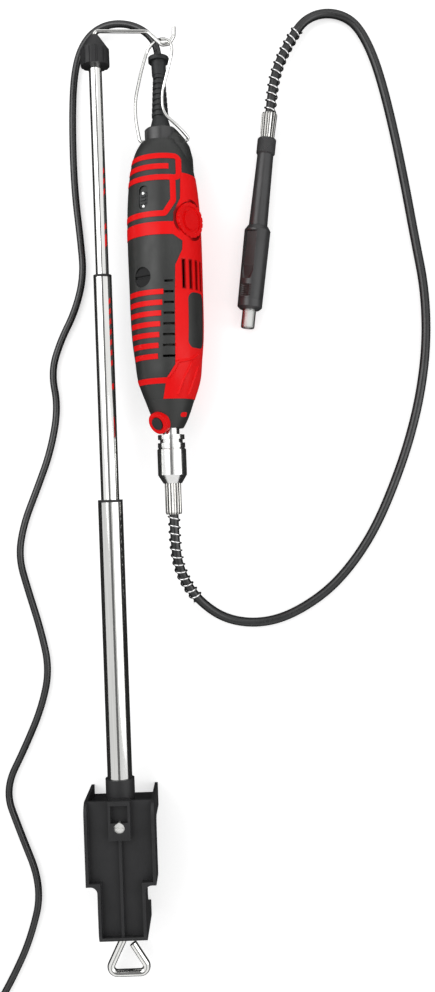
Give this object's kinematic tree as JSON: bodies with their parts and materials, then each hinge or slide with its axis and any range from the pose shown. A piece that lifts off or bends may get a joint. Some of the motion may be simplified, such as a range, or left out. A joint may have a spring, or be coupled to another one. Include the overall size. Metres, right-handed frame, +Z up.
{
  "type": "rotary tool with flex shaft",
  "caption": "Slim corded rotary tool hung by its wire loop from a telescoping clamp-on stand, with a flexible drive shaft to a slender handpiece.",
  "frame": {"origin": "centre of the base of the set lying flat, its free cords left out of the box", "axes": "+Y along the stand's tubes from its clamp towards its hook, +Z up from the surface, +X from the stand towards the handpiece"},
  "size_m": [0.3833, 0.9411, 0.059],
  "materials": {
    "black_plastic": "fine satin grain",
    "red_plastic": "semi-gloss, soft over-mould",
    "dark_plastic": "satin",
    "boot_rubber": "matte",
    "cord_rubber": "satin",
    "sheath_rubber": "satin",
    "clamp_plastic": "matte, moulded",
    "tube_chrome": "polished",
    "wire_chrome": "bright plated",
    "bright_steel": "turned",
    "spring_steel": "dark bright",
    "bearing_steel": "ground",
    "motor_iron": "laminated",
    "fan_plastic": "moulded",
    "brush_carbon": "carbon"
  },
  "bodies": {
    "tool": {"front_shell": "black_plastic", "back_shell": "black_plastic", "side_panel": "red_plastic", "grip_stripes": "red_plastic", "black_plate": "black_plastic", "rear_collar": "dark_plastic", "cord_boot": "boot_rubber", "switch_plate": "black_plastic", "front_brush_cap": "dark_plastic", "back_brush_cap": "dark_plastic", "front_brush": "brush_carbon", "back_brush": "brush_carbon", "field_stator": "motor_iron", "rear_bearing": "bearing_steel", "front_bearing": "bearing_steel", "nose_cone": "black_plastic", "lock_ring": "red_plastic", "coupling_nut": "bright_steel", "tool_ferrule": "bright_steel", "tool_spring": "spring_steel", "flex_sheath": "sheath_rubber", "hand_spring": "spring_steel", "hand_ferrule": "bright_steel", "hand_nut": "dark_plastic", "hand_neck": "dark_plastic", "hand_grip": "dark_plastic", "hand_front_bearing": "bearing_steel", "hand_rear_bearing": "bearing_steel", "mains_cord": "cord_rubber", "cord_coil": "cord_rubber", "coil_tie": "dark_plastic", "mains_plug": "cord_rubber"},
    "bail": {"bail": "wire_chrome"},
    "hook": {"hook_wire": "wire_chrome"},
    "top_stage": {"top_cap": "clamp_plastic", "upper_tube": "tube_chrome", "upper_foot": "clamp_plastic"},
    "middle_stage": {"middle_tube": "tube_chrome", "middle_foot": "clamp_plastic", "middle_bush": "clamp_plastic"},
    "clamp": {"lower_tube": "tube_chrome", "lower_bush": "clamp_plastic", "clamp_frame": "clamp_plastic", "socket_screw": "bright_steel", "socket_sleeve": "clamp_plastic", "screw_nut": "bright_steel"},
    "pad": {"pressure_pad": "bright_steel"},
    "feed_screw": {"clamp_screw": "wire_chrome"},
    "rotor": {"motor_rotor": "motor_iron", "cooling_fan": "fan_plastic"},
    "spindle": {"hand_spindle": "bright_steel", "collet": "bright_steel", "collet_nut": "bright_steel"},
    "dial": {"speed_dial": "red_plastic"},
    "switch": {"switch_slider": "dark_plastic"},
    "button": {"lock_button": "dark_plastic"}
  },
  "joints": [
    {"name": "bail_swing", "type": "hinge", "parent": "tool", "child": "bail", "pos_m": [-0.008, 0.283, 0.0286], "axis": [1, 0, 0], "range_deg": [0, 30]},
    {"name": "hook_hang", "type": "hinge", "parent": "bail", "child": "hook", "pos_m": [-0.003, 0.3556, 0.0395], "axis": [-1, 0, 0], "range_deg": [0, 45]},
    {"name": "stand_swivel", "type": "hinge", "parent": "hook", "child": "top_stage", "pos_m": [-0.056, 0.35, 0.038], "axis": [0, 1, 0], "range_deg": [-180, 180]},
    {"name": "upper_telescope", "type": "slide", "parent": "top_stage", "child": "middle_stage", "axis": [0, 1, 0], "range_m": [0, 0.14]},
    {"name": "lower_telescope", "type": "slide", "parent": "middle_stage", "child": "clamp", "axis": [0, 1, 0], "range_m": [0, 0.15]},
    {"name": "clamp_feed", "type": "slide", "parent": "clamp", "child": "pad", "axis": [0, -1, 0], "range_m": [0, 0.05]},
    {"name": "screw_turn", "type": "hinge", "parent": "pad", "child": "feed_screw", "pos_m": [-0.056, -0.245, 0.013], "axis": [0, 1, 0], "range_deg": [0, 18010]},
    {"name": "motor_spin", "type": "hinge", "parent": "tool", "child": "rotor", "pos_m": [-0.008, 0.2, 0.0286], "axis": [0, 1, 0], "continuous": true},
    {"name": "spindle_spin", "type": "hinge", "parent": "tool", "child": "spindle", "pos_m": [0.06824, 0.23765, 0.0106], "axis": [0.1374, 0.9905, 0], "continuous": true},
    {"name": "dial_turn", "type": "hinge", "parent": "tool", "child": "dial", "pos_m": [-0.008, 0.2168, 0.0286], "axis": [0.766, 0, 0.6428], "range_deg": [0, 270]},
    {"name": "switch_slide", "type": "slide", "parent": "tool", "child": "switch", "axis": [0, 1, 0], "range_m": [0, 0.004]},
    {"name": "lock_press", "type": "slide", "parent": "tool", "child": "button", "axis": [0.5872, 0.4067, -0.6998], "range_m": [0, 0.0015], "stiffness_N_per_m": 800, "springref_m": -0.001}
  ],
  "couplings": [
    {"joint": "screw_turn", "follows": "clamp_feed", "rad_per_m": 6283.2},
    {"joint": "spindle_spin", "follows": "motor_spin", "ratio": 1}
  ]
}
